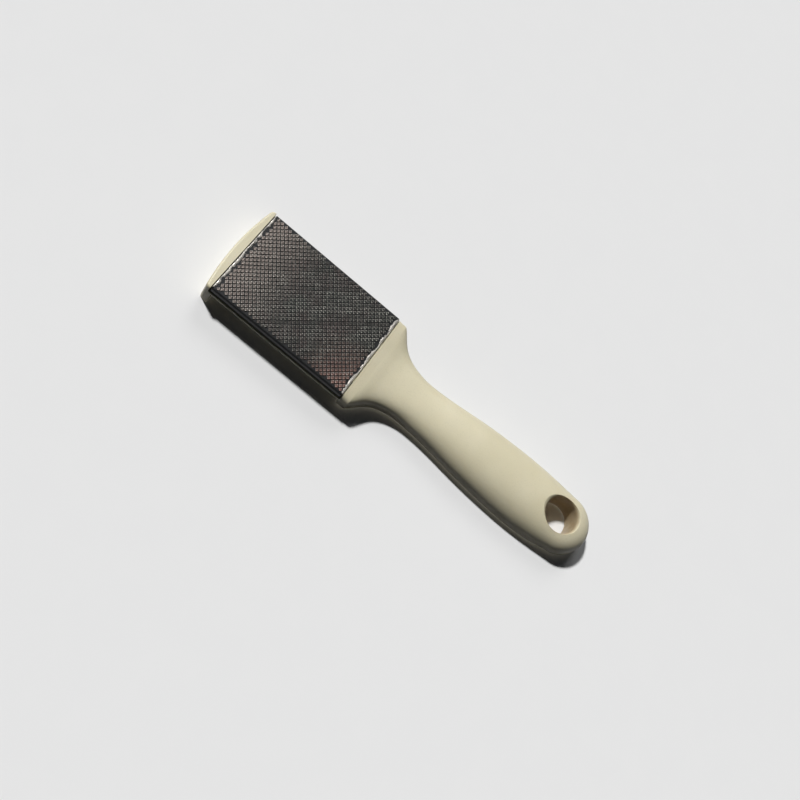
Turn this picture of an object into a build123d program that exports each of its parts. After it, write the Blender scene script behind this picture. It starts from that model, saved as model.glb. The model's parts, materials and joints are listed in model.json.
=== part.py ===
from build123d import *
import os

# Hand rasp: a moulded handle and head with a toothed steel plate, lying on its flat underside.
# Millimetres. +X runs from the head to the hanging hole, +Z is up out of the toothed plate,
# Z = 0 is the flat underside, and Y = 0 is the tool's plane of symmetry.
# X is counted from the plate's far edge here, and ORIGIN_SHIFT moves every piece at the end,
# so that the origin of the finished tool is the middle of its footprint.
# CUT_PAST is how far a cutting form reaches beyond the surface that it cuts.

# ---- steel plate ----
PLATE_LENGTH = 64.8
PLATE_WIDTH = 44.0
PLATE_TOP = 12.0
PLATE_THICKNESS = 1.0
FLANGE_DEPTH = 3.1
FLANGE_BEND = 0.9
PLATE_END_GAP = 0.7
FIT_GAP = 0.1
CUT_PAST = 1.0

# ---- head moulding ----
HEAD_HALF_WIDTH = 22.5
LIP_MID_X = -4.7
LIP_CORNER_X = -2.6
LIP_TOP = 12.3
SHOULDER_X = 69.2
SHOULDER_TOP = 12.9
DECK_TOP = PLATE_TOP - PLATE_THICKNESS
DECK_THICKNESS = 2.4
RIM_TOP = PLATE_TOP - FLANGE_DEPTH - FIT_GAP
RIM_BOTTOM = 7.7
GROOVE_DEPTH = 4.8
GROOVE_FLOOR_Z = 3.0
GROOVE_START_X = 0.8
GROOVE_END_X = 65.5
RIM_LAND = 1.2
LIP_CORNER_ROUND = 1.8
LIP_EDGE_ROUND = 1.0
FLANGE_SEAT_Y = HEAD_HALF_WIDTH + CUT_PAST / 2

# ---- handle: x, half width, height of the widest level, height of the top, fullness of the crown ----
HANDLE_STATIONS = [
    (69.2, 22.5, 7.6, 12.2, 0.92),
    (73.2, 18.3, 6.6, 11.5, 0.81),
    (77.0, 14.6, 6.1, 11.0, 0.74),
    (82.0, 12.1, 5.7, 10.8, 0.69),
    (90.0, 10.7, 4.7, 10.9, 0.66),
    (101.0, 11.0, 4.5, 11.6, 0.62),
    (116.0, 12.7, 4.3, 12.7, 0.60),
    (134.0, 14.4, 3.6, 13.4, 0.60),
    (151.0, 15.0, 2.9, 13.6, 0.60),
    (163.0, 14.3, 3.1, 13.5, 0.62),
    (171.2, 13.2, 4.2, 13.3, 0.66),
]
UNDERSIDE_FULLNESS = 0.90
BELLY_DEPTH = -1.0
TIP_BELLY = 0.8

# ---- hanging hole ----
HOLE_X = 167.9
HOLE_RADIUS = 7.6
HOLE_ROLL_RADIUS = 3.0
HOLE_ROLL_TURN = 60.0
HOLE_FLARE_LENGTH = 4.0
HOLE_ROLL_START_Z = 10.6
HOLE_BOTTOM_CHAMFER = 0.8

# ---- hollow underside and its cover ----
COVER_THICKNESS = 2.0
COVER_INSET = 3.0
COVER_CLEARANCE = 0.15
COVER_START_X = 1.4
COVER_HALF_WIDTH = 15.3
COVER_CORNER_RADIUS = 2.5
COVER_NOSE = 8.0
GRIP_WALL = 3.9
CROWN_WALL = 2.7
HOLLOW_FLOOR_Z = 1.0
HOLLOW_START_X = 3.2
HOLLOW_END_X = 146.0
HEAD_HOLLOW_HALF_WIDTH = 14.4
NECK_HOLLOW_HALF_WIDTH = 14.0
HOLLOW_JOIN_X = 70.2

# ---- stiffening ribs: z of the free lower edge, and places along the tool ----
RIB_THICKNESS = 1.4
RIB_FOOT_Z = 4.0
RIB_POSITIONS = [28.0, 38.0, 96.0, 108.0, 120.0, 131.0]

# ---- studs, washers and nuts that hold the plate ----
STUD_POSITIONS = [(17.0, -9.5), (17.0, 9.5), (49.0, -9.5), (49.0, 9.5)]
STUD_RADIUS = 1.5
STUD_LENGTH = 5.6
STUD_HEAD_RADIUS = 2.4
STUD_HEAD_HEIGHT = 0.5
STUD_CLEARANCE = 0.1
WASHER_RADIUS = 3.5
WASHER_THICKNESS = 0.5
NUT_FLATS = 5.5
NUT_HEIGHT = 2.4
NUT_THREAD_GAP = 0.05

# ---- countersunk screws that hold the cover ----
SCREW_POSITIONS = [(6.2, -11.6), (6.2, 11.6), (59.5, -11.6), (59.5, 11.6), (84.0, 0.0), (140.0, 0.0)]
SCREW_SINK = 0.15
SCREW_HEAD_RADIUS = 2.65
SCREW_HEAD_ANGLE = 90.0
SCREW_SHANK_RADIUS = 1.45
SCREW_TIP_RADIUS = 0.8
SCREW_TIP_LENGTH = 0.9
SCREW_END_Z = 7.6
SCREW_THREAD_GAP = 0.05
CROSS_LENGTH = 3.0
CROSS_WIDTH = 0.8
CROSS_DEPTH = 0.9
COVER_HOLE_RADIUS = 1.6
BOSS_RADIUS = 3.2
BOSS_HOLE_END_Z = 8.0
BOSS_TOP_Z = 14.0

# ---- values that follow from the ones above ----
RECESS_START_X = -PLATE_END_GAP
RECESS_END_X = PLATE_LENGTH + PLATE_END_GAP
GROOVE_WALL_Y = HEAD_HALF_WIDTH - GROOVE_DEPTH
DECK_HALF_WIDTH = PLATE_WIDTH / 2 - PLATE_THICKNESS - FIT_GAP
DECK_BOTTOM = DECK_TOP - DECK_THICKNESS
TOOL_END_X = HANDLE_STATIONS[-1][0] + HANDLE_STATIONS[-1][1]
ORIGIN_SHIFT = -(LIP_MID_X + TOOL_END_X) / 2


def cross_plane(x):
    """Plane across the tool at x: its own x is +Y and its own y is +Z."""
    return Plane(origin=(x, 0, 0), x_dir=(0, 1, 0), z_dir=(1, 0, 0))


def section_points(half_width, widest, top, belly, fullness):
    """Control points of the crown and the underside on the +Y side, widest level first."""
    crown = [
        (half_width, widest),
        (half_width, widest + fullness * (top - widest)),
        (fullness * half_width, top),
        (0, top),
    ]
    underside = [
        (half_width, widest),
        (half_width, widest + UNDERSIDE_FULLNESS * (belly - widest)),
        (UNDERSIDE_FULLNESS * half_width, belly),
        (0, belly),
    ]
    return crown, underside


def section_outline(half_width, widest, top, belly, fullness):
    """Draw one closed cross-section of four Bezier quarters into the open BuildLine."""
    crown, underside = section_points(half_width, widest, top, belly, fullness)
    Bezier(*crown)
    Bezier(*[(-y, z) for y, z in reversed(crown)])
    Bezier(*[(-y, z) for y, z in underside])
    Bezier(*reversed(underside))


def belly_at(x):
    """Height of the drawn underside: below the floor along the grip, rising at the round end."""
    return TIP_BELLY if x == HANDLE_STATIONS[-1][0] else BELLY_DEPTH


# ---- outer form of the handle: lofted sections and a round end ----
with BuildPart() as handle_form:
    for x, half_width, widest, top, fullness in HANDLE_STATIONS:
        with BuildSketch(cross_plane(x)):
            with BuildLine():
                section_outline(half_width, widest, top, belly_at(x), fullness)
            make_face()
    loft()
    end_x, end_half_width, end_widest, end_top, end_fullness = HANDLE_STATIONS[-1]
    end_crown, end_underside = section_points(end_half_width, end_widest, end_top, TIP_BELLY, end_fullness)
    with BuildSketch(cross_plane(end_x)):
        with BuildLine():
            Bezier(*end_crown)
            Bezier(*reversed(end_underside))
            Line((0, TIP_BELLY), (0, end_top))
        make_face()
    revolve(axis=Axis((end_x, 0, 0), (0, 0, 1)), revolution_arc=-180)

# ---- outer form of the head: an arched far lip, straight sides and finger grooves below the rim ----
with BuildPart() as head_form:
    with BuildSketch(Plane.XY):
        with BuildLine():
            ThreePointArc((LIP_CORNER_X, -HEAD_HALF_WIDTH), (LIP_MID_X, 0), (LIP_CORNER_X, HEAD_HALF_WIDTH))
            Polyline(
                (LIP_CORNER_X, HEAD_HALF_WIDTH),
                (RECESS_END_X, HEAD_HALF_WIDTH),
                (RECESS_END_X, -HEAD_HALF_WIDTH),
                (LIP_CORNER_X, -HEAD_HALF_WIDTH),
            )
        make_face()
    extrude(amount=LIP_TOP)
    far_corners = head_form.edges().filter_by(Axis.Z).group_by(Axis.X)[0]
    fillet(far_corners, radius=LIP_CORNER_ROUND)
    lip_top_edges = head_form.faces().sort_by(Axis.Z)[-1].edges().filter_by(GeomType.CIRCLE)
    fillet(lip_top_edges, radius=LIP_EDGE_ROUND)
    # The plate's seat: the deck between the ends, and a step down each long side for the flange.
    with BuildSketch(Plane.XY.offset(DECK_TOP)):
        with Locations(((RECESS_START_X + RECESS_END_X) / 2, 0)):
            Rectangle(RECESS_END_X - RECESS_START_X, 2 * HEAD_HALF_WIDTH + CUT_PAST)
    extrude(amount=LIP_TOP, mode=Mode.SUBTRACT)
    with BuildSketch(Plane.XY.offset(RIM_TOP)):
        with Locations(
            ((RECESS_START_X + RECESS_END_X) / 2, FLANGE_SEAT_Y),
            ((RECESS_START_X + RECESS_END_X) / 2, -FLANGE_SEAT_Y),
        ):
            Rectangle(RECESS_END_X - RECESS_START_X, 2 * (FLANGE_SEAT_Y - DECK_HALF_WIDTH))
    extrude(amount=LIP_TOP, mode=Mode.SUBTRACT)
    # Finger grooves: each side steps inwards below the rim, between the two end walls.
    with BuildSketch(cross_plane(GROOVE_START_X)):
        with BuildLine():
            Polyline((HEAD_HALF_WIDTH + CUT_PAST, -CUT_PAST), (GROOVE_WALL_Y, -CUT_PAST))
            Line((GROOVE_WALL_Y, -CUT_PAST), (GROOVE_WALL_Y, GROOVE_FLOOR_Z))
            Bezier(
                (GROOVE_WALL_Y, GROOVE_FLOOR_Z),
                (GROOVE_WALL_Y, RIM_BOTTOM),
                (HEAD_HALF_WIDTH - RIM_LAND, RIM_BOTTOM),
            )
            Polyline(
                (HEAD_HALF_WIDTH - RIM_LAND, RIM_BOTTOM),
                (HEAD_HALF_WIDTH + CUT_PAST, RIM_BOTTOM),
                (HEAD_HALF_WIDTH + CUT_PAST, -CUT_PAST),
            )
        make_face()
        mirror(about=Plane.YZ)
    extrude(amount=GROOVE_END_X - GROOVE_START_X, mode=Mode.SUBTRACT)

# ---- shoulder: closes the plate's near end and slopes down to the handle's first section ----
with BuildPart() as shoulder_form:
    _, first_half_width, first_widest, first_top, first_fullness = HANDLE_STATIONS[0]
    for x, top in ((RECESS_END_X, SHOULDER_TOP), (SHOULDER_X, first_top)):
        with BuildSketch(cross_plane(x)):
            with BuildLine():
                section_outline(first_half_width, first_widest, top, BELLY_DEPTH, first_fullness)
            make_face()
    loft(ruled=True)

# ---- hollow underside: grip, head pocket, less the screw bosses and the stiffening ribs ----
with BuildPart() as hollow:
    for x, half_width, _, section_top, fullness in HANDLE_STATIONS[:-2]:
        hollow_half_width = min(half_width - GRIP_WALL, NECK_HOLLOW_HALF_WIDTH)
        with BuildSketch(cross_plane(min(x, HOLLOW_END_X))):
            with BuildLine():
                hollow_crown, _ = section_points(
                    hollow_half_width, HOLLOW_FLOOR_Z, section_top - CROWN_WALL, HOLLOW_FLOOR_Z, fullness
                )
                Bezier(*hollow_crown)
                Bezier(*[(-y, z) for y, z in reversed(hollow_crown)])
                Line((-hollow_half_width, HOLLOW_FLOOR_Z), (hollow_half_width, HOLLOW_FLOOR_Z))
            make_face()
    loft(ruled=True)
    with BuildSketch(Plane.XY.offset(HOLLOW_FLOOR_Z)):
        with Locations(((HOLLOW_START_X + HOLLOW_JOIN_X) / 2, 0)):
            Rectangle(HOLLOW_JOIN_X - HOLLOW_START_X, 2 * HEAD_HOLLOW_HALF_WIDTH)
    extrude(amount=DECK_BOTTOM - HOLLOW_FLOOR_Z)
    with BuildSketch(Plane.XY.offset(RIB_FOOT_Z)):
        with Locations([(x, 0) for x in RIB_POSITIONS]):
            Rectangle(RIB_THICKNESS, 2 * HEAD_HALF_WIDTH)
    extrude(amount=BOSS_TOP_Z, mode=Mode.SUBTRACT)
    with BuildSketch(Plane.XY.offset(COVER_THICKNESS)):
        with Locations(SCREW_POSITIONS):
            Circle(BOSS_RADIUS)
    extrude(amount=BOSS_TOP_Z, mode=Mode.SUBTRACT)


def cover_outline(inset):
    """Draw the closed plan outline of the base cover, held inset from the widest outline."""
    grow = COVER_INSET - inset
    half_width = COVER_HALF_WIDTH + grow
    start_x = COVER_START_X - grow
    neck_corner = (HANDLE_STATIONS[1][0], half_width)
    tail = (HOLLOW_END_X, HANDLE_STATIONS[-3][1] - inset)
    side = [neck_corner] + [(x, widest_y - inset) for x, widest_y, _, _, _ in HANDLE_STATIONS[2:-3]] + [tail]
    Spline(*side)
    ThreePointArc(tail, (HOLLOW_END_X + COVER_NOSE + grow, 0), (tail[0], -tail[1]))
    Spline(*[(x, -y) for x, y in reversed(side)])
    FilletPolyline(
        (neck_corner[0], -half_width),
        (start_x, -half_width),
        (start_x, half_width),
        neck_corner,
        radius=COVER_CORNER_RADIUS,
    )


# ---- the moulding ----
with BuildPart() as body_shell:
    add(head_form.part)
    add(shoulder_form.part)
    add(handle_form.part)
    split(bisect_by=Plane.XY, keep=Keep.TOP)
    # Hanging hole: a straight bore whose top rim rolls over into the crown.
    with BuildSketch(Plane(origin=(HOLE_X, 0, 0), x_dir=(1, 0, 0), z_dir=(0, -1, 0))):
        with BuildLine():
            Polyline(
                (0, -CUT_PAST),
                (HOLE_RADIUS + HOLE_BOTTOM_CHAMFER + CUT_PAST, -CUT_PAST),
                (HOLE_RADIUS, HOLE_BOTTOM_CHAMFER),
            )
            Line((HOLE_RADIUS, HOLE_BOTTOM_CHAMFER), (HOLE_RADIUS, HOLE_ROLL_START_Z))
            roll_centre = (HOLE_RADIUS + HOLE_ROLL_RADIUS, HOLE_ROLL_START_Z)
            roll = CenterArc(roll_centre, HOLE_ROLL_RADIUS, 180, -HOLE_ROLL_TURN)
            flare = PolarLine(roll @ 1, HOLE_FLARE_LENGTH, 90 - HOLE_ROLL_TURN)
            Polyline(flare @ 1, (0, (flare @ 1).Y), (0, -CUT_PAST))
        make_face()
    revolve(axis=Axis((HOLE_X, 0, 0), (0, 0, 1)), mode=Mode.SUBTRACT)
    # Seat of the cover, then the hollow behind it.
    with BuildSketch(Plane.XY.offset(-CUT_PAST)):
        with BuildLine():
            cover_outline(COVER_INSET - COVER_CLEARANCE)
        make_face()
    extrude(amount=CUT_PAST + COVER_THICKNESS, mode=Mode.SUBTRACT)
    add(hollow.part, mode=Mode.SUBTRACT)
    # Screw holes in the bosses, and a pocket and a hole in the deck for each stud.
    with BuildSketch(Plane.XY.offset(COVER_THICKNESS)):
        with Locations(SCREW_POSITIONS):
            Circle(SCREW_SHANK_RADIUS + SCREW_THREAD_GAP)
    extrude(amount=BOSS_HOLE_END_Z - COVER_THICKNESS, mode=Mode.SUBTRACT)
    with BuildSketch(Plane.XY.offset(DECK_BOTTOM - CUT_PAST)):
        with Locations(STUD_POSITIONS):
            Circle(STUD_RADIUS + STUD_CLEARANCE)
    extrude(amount=DECK_THICKNESS + 2 * CUT_PAST, mode=Mode.SUBTRACT)
    with BuildSketch(Plane.XY.offset(DECK_TOP - STUD_HEAD_HEIGHT - STUD_CLEARANCE)):
        with Locations(STUD_POSITIONS):
            Circle(STUD_HEAD_RADIUS + STUD_CLEARANCE)
    extrude(amount=STUD_HEAD_HEIGHT + CUT_PAST, mode=Mode.SUBTRACT)

# ---- the toothed plate: a steel channel, its long edges bent down over the deck ----
with BuildPart() as rasp_plate:
    with BuildSketch(cross_plane(0)) as channel:
        with Locations((0, PLATE_TOP - FLANGE_DEPTH / 2)):
            Rectangle(PLATE_WIDTH, FLANGE_DEPTH)
        fillet(channel.vertices().group_by(Axis.Z)[-1], radius=FLANGE_BEND)
        with Locations((0, DECK_TOP - FLANGE_DEPTH / 2)):
            Rectangle(PLATE_WIDTH - 2 * PLATE_THICKNESS, FLANGE_DEPTH, mode=Mode.SUBTRACT)
    extrude(amount=PLATE_LENGTH)

# ---- the base cover, flush with the underside ----
with BuildPart() as base_cover:
    with BuildSketch(Plane.XY):
        with BuildLine():
            cover_outline(COVER_INSET)
        make_face()
    extrude(amount=COVER_THICKNESS)
    with Locations(Plane(origin=(0, 0, 0), x_dir=(1, 0, 0), z_dir=(0, 0, -1))):
        with Locations([(x, -y, 0) for x, y in SCREW_POSITIONS]):
            CounterSinkHole(
                COVER_HOLE_RADIUS, SCREW_HEAD_RADIUS + SCREW_SINK, COVER_THICKNESS, SCREW_HEAD_ANGLE
            )

# ---- a stud welded under the plate: flat round head and a shank through the deck ----
with BuildPart() as weld_stud:
    with BuildSketch(Plane.XY.offset(DECK_TOP - STUD_HEAD_HEIGHT)):
        Circle(STUD_HEAD_RADIUS)
    extrude(amount=STUD_HEAD_HEIGHT)
    with BuildSketch(Plane.XY.offset(DECK_TOP - STUD_HEAD_HEIGHT - STUD_LENGTH)):
        Circle(STUD_RADIUS)
    extrude(amount=STUD_LENGTH)

# ---- a flat washer against the underside of the deck ----
with BuildPart() as stud_washer:
    with BuildSketch(Plane.XY.offset(DECK_BOTTOM - WASHER_THICKNESS)):
        Circle(WASHER_RADIUS)
        Circle(STUD_RADIUS + STUD_CLEARANCE, mode=Mode.SUBTRACT)
    extrude(amount=WASHER_THICKNESS)

# ---- a hexagon nut below the washer ----
with BuildPart() as stud_nut:
    with BuildSketch(Plane.XY.offset(DECK_BOTTOM - WASHER_THICKNESS - NUT_HEIGHT)):
        RegularPolygon(NUT_FLATS / 2, 6, major_radius=False)
        Circle(STUD_RADIUS + NUT_THREAD_GAP, mode=Mode.SUBTRACT)
    extrude(amount=NUT_HEIGHT)

# ---- a countersunk screw, head downwards, with a cross recess ----
with BuildPart() as cover_screw:
    with BuildSketch(Plane.XZ):
        with BuildLine():
            Polyline(
                (0, SCREW_SINK),
                (SCREW_HEAD_RADIUS, SCREW_SINK),
                (SCREW_SHANK_RADIUS, SCREW_SINK + SCREW_HEAD_RADIUS - SCREW_SHANK_RADIUS),
                (SCREW_SHANK_RADIUS, SCREW_END_Z - SCREW_TIP_LENGTH),
                (SCREW_TIP_RADIUS, SCREW_END_Z),
                (0, SCREW_END_Z),
                close=True,
            )
        make_face()
    revolve(axis=Axis.Z)
    with BuildSketch(Plane.XY.offset(SCREW_SINK)):
        Rectangle(CROSS_LENGTH, CROSS_WIDTH)
        Rectangle(CROSS_WIDTH, CROSS_LENGTH)
    extrude(amount=CROSS_DEPTH, mode=Mode.SUBTRACT)

# ---- every piece in its place ----
pieces = {
    "body_shell": body_shell.part,
    "rasp_plate": rasp_plate.part,
    "base_cover": base_cover.part,
}
for number, (x, y) in enumerate(STUD_POSITIONS, start=1):
    pieces[f"weld_stud_{number}"] = Pos(x, y, 0) * weld_stud.part
    pieces[f"stud_washer_{number}"] = Pos(x, y, 0) * stud_washer.part
    pieces[f"stud_nut_{number}"] = Pos(x, y, 0) * stud_nut.part
for number, (x, y) in enumerate(SCREW_POSITIONS, start=1):
    pieces[f"cover_screw_{number}"] = Pos(x, y, 0) * cover_screw.part

os.makedirs("parts", exist_ok=True)
for name, piece in pieces.items():
    placed = Pos(ORIGIN_SHIFT, 0, 0) * piece
    placed.label = name
    export_step(placed, f"parts/{name}.step")
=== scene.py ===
import json
import math
import random

import bmesh
import bpy
from mathutils import Matrix, Vector


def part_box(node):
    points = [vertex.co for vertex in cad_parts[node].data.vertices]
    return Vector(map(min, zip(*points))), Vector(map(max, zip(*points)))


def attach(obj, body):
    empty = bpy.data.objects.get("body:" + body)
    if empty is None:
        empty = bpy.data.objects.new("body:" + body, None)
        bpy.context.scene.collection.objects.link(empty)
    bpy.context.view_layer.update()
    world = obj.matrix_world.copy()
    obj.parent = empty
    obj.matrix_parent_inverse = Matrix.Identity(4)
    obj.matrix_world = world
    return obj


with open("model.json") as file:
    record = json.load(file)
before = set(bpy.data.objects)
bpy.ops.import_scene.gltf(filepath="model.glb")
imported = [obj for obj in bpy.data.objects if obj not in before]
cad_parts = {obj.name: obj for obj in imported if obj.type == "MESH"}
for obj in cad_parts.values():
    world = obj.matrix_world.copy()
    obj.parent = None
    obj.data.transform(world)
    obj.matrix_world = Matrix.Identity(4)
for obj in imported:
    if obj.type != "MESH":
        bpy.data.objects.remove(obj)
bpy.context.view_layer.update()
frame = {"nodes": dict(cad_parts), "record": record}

nodes = frame["nodes"]
random.seed(7)

MM = 0.001

# ---- what the teeth and the plate's edges are measured from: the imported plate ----
plate_low, plate_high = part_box("rasp_plate")
PLATE_X0, PLATE_X1 = plate_low[0], plate_high[0]
PLATE_HALF_WIDTH = plate_high[1]
PLATE_TOP = plate_high[2]

# ---- the hanging hole, from the record's own mount ----
hole = next(mount for mount in frame["record"]["mounts"] if mount["name"] == "hanging_hole")
HOLE_X = hole["pos_m"][0]
HOLE_RADIUS = hole["dims"]["r_mm"] * MM

# ---- teeth: cells between two crossing cuts, CUT_A and CUT_B from one tooth to the next ----
# TOOTH_FOOT and TOOTH_CREST are shares of a cell, and levels and heights are shares of TOOTH_HEIGHT.
CUT_A = (1.195 * MM, 1.066 * MM)
CUT_B = (0.965 * MM, -1.320 * MM)
TOOTH_HEIGHT = 0.50 * MM
TOOTH_SINK = 0.08 * MM
TOOTH_FOOT = 0.88
TOOTH_CREST = 0.68
CREST_LEVELS = (1.0, 0.94, 0.5, 0.94)
GULLET_LEVEL = 0.5
GULLET_PLACE = 0.40
ROW_HEIGHTS = (0.86, 1.0)
TOOTH_HEIGHTS = (0.92, 1.04)
TRIM_LEAST = 0.3 * MM
END_MARGIN = 1.0 * MM
SIDE_MARGIN = 0.9 * MM

PLATE_MIDDLE_X = (PLATE_X0 + PLATE_X1) / 2
FIELD_HALF_LENGTH = (PLATE_X1 - PLATE_X0) / 2 - END_MARGIN
FIELD_HALF_WIDTH = PLATE_HALF_WIDTH - SIDE_MARGIN

# ---- the bare strips along the plate's short ends: widths and rises are shares of the full ones ----
STRIP_WIDTH = 1.35 * MM
STRIP_OVERHANG = 0.35 * MM
STRIP_RISE = 0.30 * MM
STRIP_STEPS = 120
STRIP_PROFILE = 7
STRIP_WIDTHS = (0.42, 1.10)
STRIP_WIDTH_STEP = 0.32
STRIP_RISES = (0.10, 1.05)
STRIP_RISE_STEP = 0.45

# ---- moulded plastic: pale and deep colours, and grain in features per metre ----
CREAM = ((0.715, 0.660, 0.480), (0.665, 0.610, 0.430))
COVER_CREAM = ((0.60, 0.55, 0.39), (0.55, 0.50, 0.35))
CREAM_ROUGHNESS = 0.42
COVER_ROUGHNESS = 0.48
PLASTIC_IOR = 1.49
DRIFT_GRAIN = 45.0
SPECKLE_GRAIN = 1800.0
SPECKLE_SHADE = 0.82
SPECKLE_MOST = 0.35
GLOSS_GRAIN = 320.0
MOULD_GRAIN = 2600.0
MOULD_RELIEF = 0.04 * MM
SCATTER_WEIGHT = 0.08
SCATTER_RADIUS = (1.0, 0.8, 0.5)
SCATTER_SCALE = 1.0 * MM

# ---- painted shade on the wall of the hanging hole: how far off the wall it fades and ends ----
# brown painted shade for the wall of the hanging hole, standing in for the shade inside it
HOLE_SHADE_COLOUR = (0.440, 0.335, 0.200)
HOLE_SHADE_FADE = 0.1 * MM
HOLE_SHADE_END = 0.9 * MM
HOLE_SHADE_GRAIN = 350.0
HOLE_SHADE_LEAST = 0.75

# ---- plain steel hardware: colour and roughness of each kind ----
STUD_STEEL = ((0.50, 0.50, 0.49), 0.38)
WASHER_STEEL = ((0.60, 0.60, 0.58), 0.32)
NUT_STEEL = ((0.58, 0.56, 0.48), 0.36)
SCREW_STEEL = ((0.62, 0.62, 0.61), 0.28)
STUD_DRAWN = (1.0, 1.0, 0.2)
STREAK_GRAIN = 2400.0
STREAK_SHADE = 0.72
STREAK_RELIEF = 0.02 * MM

# ---- rasp steel: colours from the painted shade low in the cuts and on the plate's sides up to the worn, painted-highlight crests ----
# near-black painted shade for the cuts between the teeth and the plate's sides
CUT_SHADE_COLOURS = ((0.008, 0.009, 0.010), (0.020, 0.020, 0.020))
FACE_COLOURS = ((0.036, 0.040, 0.035), (0.063, 0.047, 0.044))
FACE_FLECK = (0.10, 0.095, 0.085)
FACE_FAR = (0.290, 0.240, 0.213)
FACE_WARM = (0.34, 0.185, 0.150)
# crest colours: wear and a painted highlight on the teeth's tips
CREST_WEAR_AND_HIGHLIGHT_COLOURS = ((0.875, 0.862, 0.775), (0.525, 0.488, 0.450))
CREST_FAR = (0.98, 0.90, 0.82)
CREST_WARM = (0.98, 0.82, 0.74)
RASP_METALLIC = 0.35
BLOTCH_GRAIN = 130.0
FLECK_GRAIN = 1500.0
FLECK_RELIEF = 0.04 * MM
WARM_LENGTH = 22.0 * MM
WARM_WIDTH = 24.0 * MM
FAR_LENGTH = 26.0 * MM
# heights where the painted shade of the cuts gives way to the tooth faces, as shares of TOOTH_HEIGHT
CUT_SHADE_HEIGHTS = (0.02, 0.45)
# heights from which the crests take the wear and painted-highlight colours, as shares of TOOTH_HEIGHT
WEAR_AND_HIGHLIGHT_HEIGHTS = (0.66, 0.88)

# ---- bare steel of the strips ----
BARE_COLOURS = ((0.54, 0.51, 0.46), (0.16, 0.15, 0.135))
BARE_METALLIC = 0.3
SMEAR_STRETCH = (1.0, 0.25, 1.0)
SMEAR_GRAIN = 1300.0
SMEAR_RELIEF = 0.05 * MM

# ---- camera: its place in metres, its turn in degrees, its lens and sensor in millimetres ----
CAMERA_PLACE = (-0.0569, -0.2013, 0.3902)
CAMERA_AZIMUTH = 14.95
CAMERA_ELEVATION = 62.0
CAMERA_ROLL = 53.0
CAMERA_LENS = 47.97
CAMERA_SENSOR = 36.0
CAMERA_CLIP = 0.01

# ---- light: the way a shadow falls for each unit of height, and the spread of each light in degrees ----
SHADOW_FALL = (0.72, -0.34)
KEY_STRENGTH = 3.25
KEY_SPREAD = 5.7
SIDE_WAY = (-0.2, 1.0, 0.85)
SIDE_STRENGTH = 0.55
SIDE_SPREAD = 26.0
SKY_STRENGTH = 0.018
GROUND_STRENGTH = 0.55
BACKDROP_STRENGTH = 0.78
SKY_COLOUR = (0.80, 0.88, 1.0)
BACKDROP_COLOUR = (1.0, 1.0, 1.0)
HORIZON_BAND = (-0.02, 0.0)

# ---- the floor, a hair below the tool's flat underside, and the glow that it gives the tool ----
FLOOR_REACH = 20.0
FLOOR_GAP = 0.05 * MM
FLOOR_COLOURS = ((0.825, 0.825, 0.825), (0.84, 0.84, 0.835))
FLOOR_GRAIN = 60.0
FLOOR_ROUGHNESS = 0.9
FLOOR_SPECULAR = 0.1
GLOW_COLOUR = (0.93, 0.93, 1.0)
GLOW_STRENGTH = 0.018
UNDERSIDE_GLOW_STRENGTH = 0.42
UNDERSIDE_REACH = (0.3 * MM, 5.0 * MM)


def new_material(name):
    """An empty node material with a Principled shader wired to its output."""
    material = bpy.data.materials.new(name)
    material.use_nodes = True
    tree = material.node_tree
    tree.nodes.clear()
    output = tree.nodes.new("ShaderNodeOutputMaterial")
    shader = tree.nodes.new("ShaderNodeBsdfPrincipled")
    tree.links.new(shader.outputs["BSDF"], output.inputs["Surface"])
    return material, tree, shader


def place(tree):
    """The Object coordinates, which are metres in the frame of the whole tool."""
    return tree.nodes.new("ShaderNodeTexCoord").outputs["Object"]


def noise(tree, where, scale, detail=2.0, roughness=0.5):
    """Noise values from 0 to 1 at a scale in features per metre."""
    node = tree.nodes.new("ShaderNodeTexNoise")
    node.inputs["Scale"].default_value = scale
    node.inputs["Detail"].default_value = detail
    node.inputs["Roughness"].default_value = roughness
    tree.links.new(where, node.inputs["Vector"])
    return node.outputs["Fac"]


def spread(tree, value, low, high, to_low=0.0, to_high=1.0):
    """A value taken from the range low..high to the range to_low..to_high, clamped."""
    node = tree.nodes.new("ShaderNodeMapRange")
    node.inputs["From Min"].default_value = low
    node.inputs["From Max"].default_value = high
    node.inputs["To Min"].default_value = to_low
    node.inputs["To Max"].default_value = to_high
    tree.links.new(value, node.inputs["Value"])
    return node.outputs["Result"]


def maths(tree, operation, first, second):
    """A Math node on two sockets, or on a socket and a number."""
    node = tree.nodes.new("ShaderNodeMath")
    node.operation = operation
    for socket, value in zip(node.inputs, (first, second)):
        if isinstance(value, (int, float)):
            socket.default_value = value
        else:
            tree.links.new(value, socket)
    return node.outputs["Value"]


def blend_colours(tree, factor, first, second):
    """Two colours, or colour sockets, mixed by a factor socket."""
    node = tree.nodes.new("ShaderNodeMix")
    node.data_type = "RGBA"
    tree.links.new(factor, node.inputs[0])
    for socket, colour in ((node.inputs[6], first), (node.inputs[7], second)):
        if isinstance(colour, tuple):
            socket.default_value = (*colour, 1.0)
        else:
            tree.links.new(colour, socket)
    return node.outputs[2]


def add_bump(tree, shader, height, distance, strength):
    """Fine relief from a height socket."""
    node = tree.nodes.new("ShaderNodeBump")
    node.inputs["Distance"].default_value = distance
    node.inputs["Strength"].default_value = strength
    tree.links.new(height, node.inputs["Height"])
    tree.links.new(node.outputs["Normal"], shader.inputs["Normal"])


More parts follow.
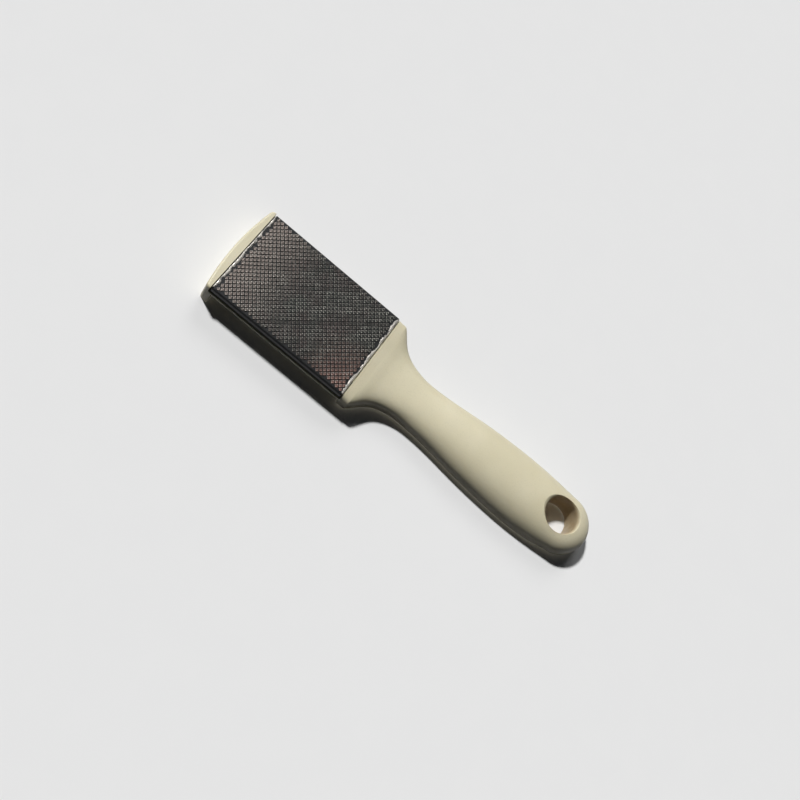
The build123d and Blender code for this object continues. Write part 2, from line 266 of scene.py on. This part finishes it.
def moulded_plastic(name, colours, roughness):
    """Cream moulded plastic: slow drifts of colour, a fine speckle and the grain of the mould."""
    material, tree, shader = new_material(name)
    where = place(tree)
    pale, deep = colours
    drift = spread(tree, noise(tree, where, DRIFT_GRAIN, 3.0), 0.35, 0.65)
    speckle = spread(tree, noise(tree, where, SPECKLE_GRAIN), 0.55, 0.75, 0.0, SPECKLE_MOST)
    base = blend_colours(tree, drift, pale, deep)
    base = blend_colours(tree, speckle, base, tuple(SPECKLE_SHADE * c for c in deep))
    tree.links.new(base, shader.inputs["Base Color"])
    gloss = spread(tree, noise(tree, where, GLOSS_GRAIN), 0.3, 0.7, roughness - 0.05, roughness + 0.07)
    tree.links.new(gloss, shader.inputs["Roughness"])
    shader.inputs["IOR"].default_value = PLASTIC_IOR
    shader.inputs["Subsurface Weight"].default_value = SCATTER_WEIGHT
    shader.inputs["Subsurface Radius"].default_value = SCATTER_RADIUS
    shader.inputs["Subsurface Scale"].default_value = SCATTER_SCALE
    add_bump(tree, shader, noise(tree, where, MOULD_GRAIN, 3.0), MOULD_RELIEF, 0.25)
    return material


def paint_hole_shade(material):
    """Painted shade, patchy and brown, on the wall of the hanging hole, fading out just outside it."""
    tree = material.node_tree
    shader = next(node for node in tree.nodes if node.type == "BSDF_PRINCIPLED")
    plastic = shader.inputs["Base Color"].links[0].from_socket
    where = place(tree)
    from_axis = tree.nodes.new("ShaderNodeVectorMath")
    from_axis.operation = "SUBTRACT"
    from_axis.inputs[1].default_value = (HOLE_X, 0.0, 0.0)
    tree.links.new(where, from_axis.inputs[0])
    flat = tree.nodes.new("ShaderNodeVectorMath")
    flat.operation = "MULTIPLY"
    flat.inputs[1].default_value = (1.0, 1.0, 0.0)
    tree.links.new(from_axis.outputs["Vector"], flat.inputs[0])
    reach = tree.nodes.new("ShaderNodeVectorMath")
    reach.operation = "LENGTH"
    tree.links.new(flat.outputs["Vector"], reach.inputs[0])
    near_wall = spread(tree, reach.outputs["Value"], HOLE_RADIUS + HOLE_SHADE_END, HOLE_RADIUS + HOLE_SHADE_FADE)
    patchy = spread(tree, noise(tree, where, HOLE_SHADE_GRAIN, 3.0), 0.3, 0.7, HOLE_SHADE_LEAST, 1.0)
    # painted shade: the hole's wall darkened to a patchy brown
    painted_shade = maths(tree, "MULTIPLY", near_wall, patchy)
    tree.links.new(blend_colours(tree, painted_shade, plastic, HOLE_SHADE_COLOUR), shader.inputs["Base Color"])


def stretched(tree, factors):
    """The Object coordinates, each multiplied by its factor."""
    mapping = tree.nodes.new("ShaderNodeMapping")
    mapping.inputs["Scale"].default_value = factors
    tree.links.new(place(tree), mapping.inputs["Vector"])
    return mapping.outputs["Vector"]


def plain_steel(name, finish, drawn=(1.0, 1.0, 1.0)):
    """Bare steel hardware with fine streaks, stretched by the drawn factors."""
    material, tree, shader = new_material(name)
    colour, roughness = finish
    streaks = noise(tree, stretched(tree, drawn), STREAK_GRAIN, 4.0)
    dull = tuple(STREAK_SHADE * c for c in colour)
    base = blend_colours(tree, spread(tree, streaks, 0.35, 0.65), colour, dull)
    tree.links.new(base, shader.inputs["Base Color"])
    shader.inputs["Metallic"].default_value = 1.0
    gloss = spread(tree, streaks, 0.3, 0.7, roughness - 0.08, roughness + 0.1)
    tree.links.new(gloss, shader.inputs["Roughness"])
    add_bump(tree, shader, streaks, STREAK_RELIEF, 0.3)
    return material


def rasp_steel(name):
    """Dark used steel: painted shade in the cuts and on the plate's sides, worn crests with a painted
    highlight, paler towards the far end and warmer towards the near corner.
    """
    material, tree, shader = new_material(name)
    where = place(tree)
    axes = tree.nodes.new("ShaderNodeSeparateXYZ")
    tree.links.new(where, axes.inputs["Vector"])
    x, y, z = axes.outputs
    blotch = noise(tree, where, BLOTCH_GRAIN, 4.0, 0.6)
    fleck = noise(tree, where, FLECK_GRAIN, 4.0, 0.6)
    toward_near = spread(tree, x, PLATE_X1 - WARM_LENGTH, PLATE_X1)
    toward_side = spread(tree, y, -PLATE_HALF_WIDTH + WARM_WIDTH, -PLATE_HALF_WIDTH)
    corner = maths(tree, "MULTIPLY", toward_near, toward_side)
    toward_far = spread(tree, x, PLATE_X0 + FAR_LENGTH, PLATE_X0)
    # painted shade: near black in the cuts and on the plate's sides
    cut_shade = blend_colours(tree, spread(tree, fleck, 0.4, 0.7), *CUT_SHADE_COLOURS)
    face = blend_colours(tree, spread(tree, blotch, 0.42, 0.66), *FACE_COLOURS)
    face = blend_colours(tree, spread(tree, fleck, 0.45, 0.75, 0.0, 0.5), face, FACE_FLECK)
    face = blend_colours(tree, toward_far, face, FACE_FAR)
    face = blend_colours(tree, corner, face, FACE_WARM)
    # wear and painted highlight: pale colours on the crests
    crest = blend_colours(tree, spread(tree, blotch, 0.35, 0.62), *CREST_WEAR_AND_HIGHLIGHT_COLOURS)
    crest = blend_colours(tree, toward_far, crest, CREST_FAR)
    crest = blend_colours(tree, corner, crest, CREST_WARM)
    # the painted shade fades out up the tooth's flanks
    cut_shade_fade = spread(tree, z, *(PLATE_TOP + share * TOOTH_HEIGHT for share in CUT_SHADE_HEIGHTS))
    wear_and_highlight = spread(tree, z, *(PLATE_TOP + share * TOOTH_HEIGHT for share in WEAR_AND_HIGHLIGHT_HEIGHTS))
    base = blend_colours(tree, cut_shade_fade, cut_shade, face)
    # crests above these heights take the wear and painted-highlight colours
    base = blend_colours(tree, wear_and_highlight, base, crest)
    tree.links.new(base, shader.inputs["Base Color"])
    shader.inputs["Metallic"].default_value = RASP_METALLIC
    tree.links.new(spread(tree, fleck, 0.3, 0.7, 0.38, 0.60), shader.inputs["Roughness"])
    add_bump(tree, shader, fleck, FLECK_RELIEF, 0.5)
    return material


def bare_steel(name):
    """The uncut, wiped-bright steel of the plate's short ends, smeared along them."""
    material, tree, shader = new_material(name)
    smear = noise(tree, stretched(tree, SMEAR_STRETCH), SMEAR_GRAIN, 3.0, 0.6)
    base = blend_colours(tree, spread(tree, smear, 0.38, 0.68), *BARE_COLOURS)
    tree.links.new(base, shader.inputs["Base Color"])
    shader.inputs["Metallic"].default_value = BARE_METALLIC
    tree.links.new(spread(tree, smear, 0.3, 0.7, 0.30, 0.50), shader.inputs["Roughness"])
    add_bump(tree, shader, smear, SMEAR_RELIEF, 0.5)
    return material


def dress(node, material):
    """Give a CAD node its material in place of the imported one."""
    mesh = nodes[node].data
    mesh.materials.clear()
    mesh.materials.append(material)


def add_piece(name, mesh, material):
    """Link a finished mesh as a piece of the tool."""
    mesh.materials.append(material)
    piece = bpy.data.objects.new(name, mesh)
    bpy.context.scene.collection.objects.link(piece)
    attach(piece, "root")


def trimmed(x, y, z):
    """A point of a tooth, counted from the plate's middle and held inside the toothed field."""
    x = max(-FIELD_HALF_LENGTH, min(FIELD_HALF_LENGTH, x))
    y = max(-FIELD_HALF_WIDTH, min(FIELD_HALF_WIDTH, y))
    return (PLATE_MIDDLE_X + x, y, PLATE_TOP + z)


def tooth(work, x, y, height):
    """One tooth: a skewed foot, crests along its two far sides, and a gullet that falls behind them."""
    corners = [
        ((a * CUT_A[0] + b * CUT_B[0]) / 2, (a * CUT_A[1] + b * CUT_B[1]) / 2)
        for a, b in ((-1, -1), (1, -1), (1, 1), (-1, 1))
    ]
    foot = [
        work.verts.new(trimmed(x + TOOTH_FOOT * dx, y + TOOTH_FOOT * dy, -TOOTH_SINK))
        for dx, dy in corners
    ]
    crest = [
        work.verts.new(trimmed(x + TOOTH_CREST * dx, y + TOOTH_CREST * dy, level * height))
        for (dx, dy), level in zip(corners, CREST_LEVELS)
    ]
    far_dx, far_dy = corners[0]
    gullet = work.verts.new(trimmed(
        x + GULLET_PLACE * TOOTH_CREST * far_dx,
        y + GULLET_PLACE * TOOTH_CREST * far_dy,
        GULLET_LEVEL * height,
    ))
    work.faces.new(foot)
    for i in range(4):
        j = (i + 1) % 4
        work.faces.new((foot[j], foot[i], crest[i], crest[j]))
        work.faces.new((crest[j], crest[i], gullet))


def make_teeth(material):
    """All the teeth as one mesh, on the lattice inside the toothed field, in rows of unlike height."""
    work = bmesh.new()
    count = int(2 * FIELD_HALF_LENGTH / CUT_B[0])
    row_heights = [TOOTH_HEIGHT * random.uniform(*ROW_HEIGHTS) for _ in range(2 * count + 1)]
    for i in range(-count, count + 1):
        for j in range(-count, count + 1):
            x = i * CUT_A[0] + j * CUT_B[0]
            y = i * CUT_A[1] + j * CUT_B[1]
            if abs(x) > FIELD_HALF_LENGTH - TRIM_LEAST or abs(y) > FIELD_HALF_WIDTH - TRIM_LEAST:
                continue
            tooth(work, x, y, row_heights[j + count] * random.uniform(*TOOTH_HEIGHTS))
    mesh = bpy.data.meshes.new("rasp_teeth")
    work.to_mesh(mesh)
    work.free()
    add_piece("rasp_teeth", mesh, material)


def ragged(count, step, low, high):
    """A slowly wandering row of values between low and high."""
    value = (low + high) / 2
    values = []
    for _ in range(count):
        value = min(high, max(low, value + random.uniform(-step, step)))
        values.append(value)
    return values


def make_strip(name, outer_x, inward, material):
    """One bare strip: a low bead along a short end, with a ragged edge beside the teeth."""
    work = bmesh.new()
    widths = ragged(STRIP_STEPS + 1, STRIP_WIDTH_STEP, *STRIP_WIDTHS)
    rises = ragged(STRIP_STEPS + 1, STRIP_RISE_STEP, *STRIP_RISES)
    half_length = PLATE_HALF_WIDTH - SIDE_MARGIN
    rings = []
    for step in range(STRIP_STEPS + 1):
        y = -half_length + 2 * half_length * step / STRIP_STEPS
        ring = []
        for point in range(STRIP_PROFILE):
            turn = math.pi * point / (STRIP_PROFILE - 1)
            across = (1 - math.cos(turn)) / 2
            x = outer_x + inward * across * STRIP_WIDTH * widths[step]
            z = PLATE_TOP - TOOTH_SINK + (STRIP_RISE * rises[step] + TOOTH_SINK) * math.sin(turn)
            ring.append(work.verts.new((x, y, z)))
        rings.append(ring)
    for ring, following in zip(rings, rings[1:]):
        for i in range(STRIP_PROFILE):
            j = (i + 1) % STRIP_PROFILE
            work.faces.new((ring[i], ring[j], following[j], following[i]))
    work.faces.new(list(reversed(rings[0])))
    work.faces.new(rings[-1])
    bmesh.ops.recalc_face_normals(work, faces=work.faces)
    mesh = bpy.data.meshes.new(name)
    work.to_mesh(mesh)
    work.free()
    for polygon in mesh.polygons:
        polygon.use_smooth = len(polygon.vertices) == 4
    add_piece(name, mesh, material)


def mix_shaders(tree, factor, first, second):
    """A Mix Shader's output, from a factor socket and two shader sockets."""
    node = tree.nodes.new("ShaderNodeMixShader")
    for socket, source in zip(node.inputs, (factor, first, second)):
        tree.links.new(source, socket)
    return node.outputs["Shader"]


def floor_material():
    """Pale paper that gives the tool a dim glow, brightest close under it, and is clear from below."""
    material, tree, paper = new_material("floor_paper")
    grey = blend_colours(tree, noise(tree, place(tree), FLOOR_GRAIN, 3.0), *FLOOR_COLOURS)
    tree.links.new(grey, paper.inputs["Base Color"])
    paper.inputs["Roughness"].default_value = FLOOR_ROUGHNESS
    paper.inputs["Specular IOR Level"].default_value = FLOOR_SPECULAR
    path = tree.nodes.new("ShaderNodeLightPath")
    glow = tree.nodes.new("ShaderNodeEmission")
    glow.inputs["Color"].default_value = (*GLOW_COLOUR, 1.0)
    strength = spread(
        tree, path.outputs["Ray Length"], *UNDERSIDE_REACH, UNDERSIDE_GLOW_STRENGTH, GLOW_STRENGTH
    )
    tree.links.new(strength, glow.inputs["Strength"])
    clear = tree.nodes.new("ShaderNodeBsdfTransparent").outputs["BSDF"]
    from_below = tree.nodes.new("ShaderNodeNewGeometry").outputs["Backfacing"]
    top = mix_shaders(tree, path.outputs["Is Diffuse Ray"], paper.outputs["BSDF"], glow.outputs["Emission"])
    output = next(node for node in tree.nodes if node.type == "OUTPUT_MATERIAL")
    tree.links.new(mix_shaders(tree, from_below, top, clear), output.inputs["Surface"])
    return material


def make_stage():
    """A plain pale floor under the tool."""
    work = bmesh.new()
    bmesh.ops.create_grid(work, x_segments=2, y_segments=2, size=FLOOR_REACH)
    mesh = bpy.data.meshes.new("floor")
    work.to_mesh(mesh)
    work.free()
    mesh.materials.append(floor_material())
    floor = bpy.data.objects.new("floor", mesh)
    floor.location.z = -FLOOR_GAP
    bpy.context.scene.collection.objects.link(floor)


def add_sun(name, toward, strength, spread_angle):
    """An even light from one way, soft by the angle that it spreads over."""
    lamp = bpy.data.lights.new(name, "SUN")
    lamp.energy = strength
    lamp.angle = math.radians(spread_angle)
    light = bpy.data.objects.new(name, lamp)
    light.rotation_euler = Vector(toward).to_track_quat("Z", "Y").to_euler()
    bpy.context.scene.collection.objects.link(light)


def make_lights():
    """One key light that sets the shadow, a wide soft one from the +Y side, and a weak even sky."""
    add_sun("key", (-SHADOW_FALL[0], -SHADOW_FALL[1], 1.0), KEY_STRENGTH, KEY_SPREAD)
    add_sun("side", SIDE_WAY, SIDE_STRENGTH, SIDE_SPREAD)
    world = bpy.data.worlds.new("studio")
    world.use_nodes = True
    tree = world.node_tree
    background = tree.nodes["Background"]
    axes = tree.nodes.new("ShaderNodeSeparateXYZ")
    tree.links.new(tree.nodes.new("ShaderNodeTexCoord").outputs["Generated"], axes.inputs["Vector"])
    level = spread(tree, axes.outputs["Z"], *HORIZON_BAND, GROUND_STRENGTH, SKY_STRENGTH)
    seen = tree.nodes.new("ShaderNodeLightPath").outputs["Is Camera Ray"]
    shown = maths(tree, "MULTIPLY", seen, BACKDROP_STRENGTH)
    tree.links.new(maths(tree, "MAXIMUM", level, shown), background.inputs["Strength"])
    tree.links.new(blend_colours(tree, seen, SKY_COLOUR, BACKDROP_COLOUR), background.inputs["Color"])
    bpy.context.scene.world = world
    bpy.context.scene.view_settings.view_transform = "Standard"


def make_camera():
    """The camera, from its place and its azimuth, elevation and roll."""
    azimuth, elevation, roll = (math.radians(a) for a in (CAMERA_AZIMUTH, CAMERA_ELEVATION, CAMERA_ROLL))
    forward = Vector((
        math.sin(azimuth) * math.cos(elevation),
        math.cos(azimuth) * math.cos(elevation),
        -math.sin(elevation),
    ))
    level = Vector((math.cos(azimuth), -math.sin(azimuth), 0.0))
    upright = level.cross(forward)
    right = level * math.cos(roll) + upright * math.sin(roll)
    up = upright * math.cos(roll) - level * math.sin(roll)
    data = bpy.data.cameras.new("camera")
    data.lens = CAMERA_LENS
    data.sensor_width = CAMERA_SENSOR
    data.clip_start = CAMERA_CLIP
    camera = bpy.data.objects.new("camera", data)
    turn = Matrix((right, up, -forward)).transposed().to_4x4()
    camera.matrix_world = Matrix.Translation(CAMERA_PLACE) @ turn
    bpy.context.scene.collection.objects.link(camera)
    bpy.context.scene.camera = camera


cream = moulded_plastic("cream_moulding", CREAM, CREAM_ROUGHNESS)
# paints shade onto the wall of the hanging hole
paint_hole_shade(cream)
toothed = rasp_steel("rasp_steel_dark")
dress("body_shell", cream)
dress("base_cover", moulded_plastic("cream_cover", COVER_CREAM, COVER_ROUGHNESS))
dress("rasp_plate", toothed)

hardware = {
    "weld_stud_": plain_steel("stud_steel_drawn", STUD_STEEL, STUD_DRAWN),
    "stud_washer_": plain_steel("washer_steel_flat", WASHER_STEEL),
    "stud_nut_": plain_steel("nut_steel_plated", NUT_STEEL),
    "cover_screw_": plain_steel("screw_steel_bright", SCREW_STEEL),
}
for start, material in hardware.items():
    for node in nodes:
        if node.startswith(start):
            dress(node, material)

make_teeth(toothed)
wiped = bare_steel("rasp_steel_bare")
make_strip("far_bare_strip", PLATE_X0 - STRIP_OVERHANG, 1, wiped)
make_strip("near_bare_strip", PLATE_X1 + STRIP_OVERHANG, -1, wiped)
make_stage()
make_lights()
make_camera()
